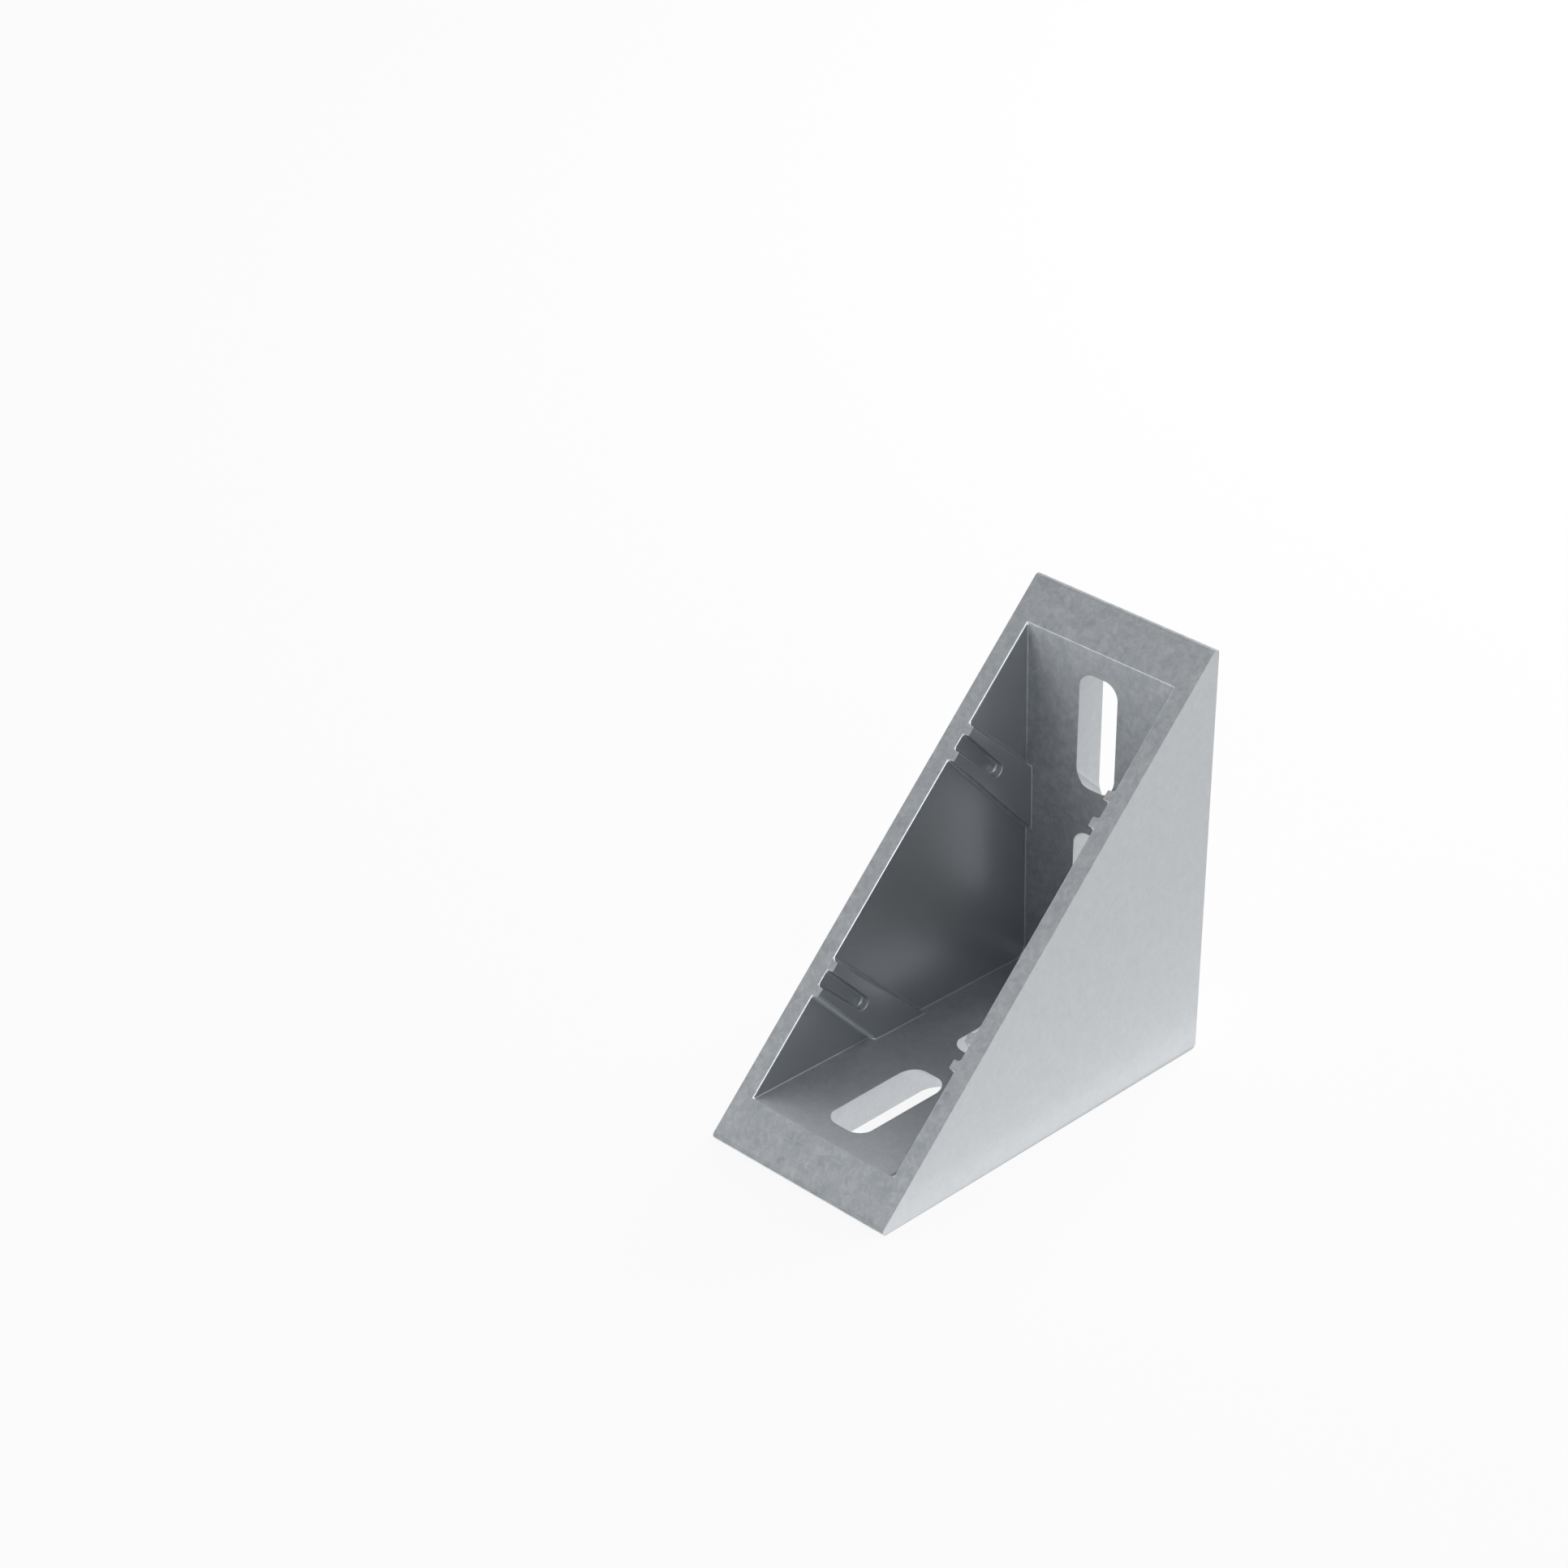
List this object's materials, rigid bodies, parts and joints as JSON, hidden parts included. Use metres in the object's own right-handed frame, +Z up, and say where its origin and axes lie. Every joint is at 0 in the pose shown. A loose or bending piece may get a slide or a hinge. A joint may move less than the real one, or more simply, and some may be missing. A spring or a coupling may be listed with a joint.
{
  "type": "t slot corner bracket",
  "caption": "Cast right-angle bracket with two triangular side walls, an open sloping front and long screw slots in both legs, for joining T slot framing at a corner.",
  "frame": {"origin": "middle of the heel edge, where the planes of the two mounting faces meet", "axes": "+Z up along the upright leg, -Y along the base leg away from the heel, +X across the width; the base leg's mounting face is Z = 0 and the upright leg's is Y = 0"},
  "size_m": [0.0396, 0.0789, 0.0789],
  "materials": {
    "body": "satin as-cast, fine grain on the rim"
  },
  "bodies": {
    "root": {"body": "body"}
  },
  "joints": []
}
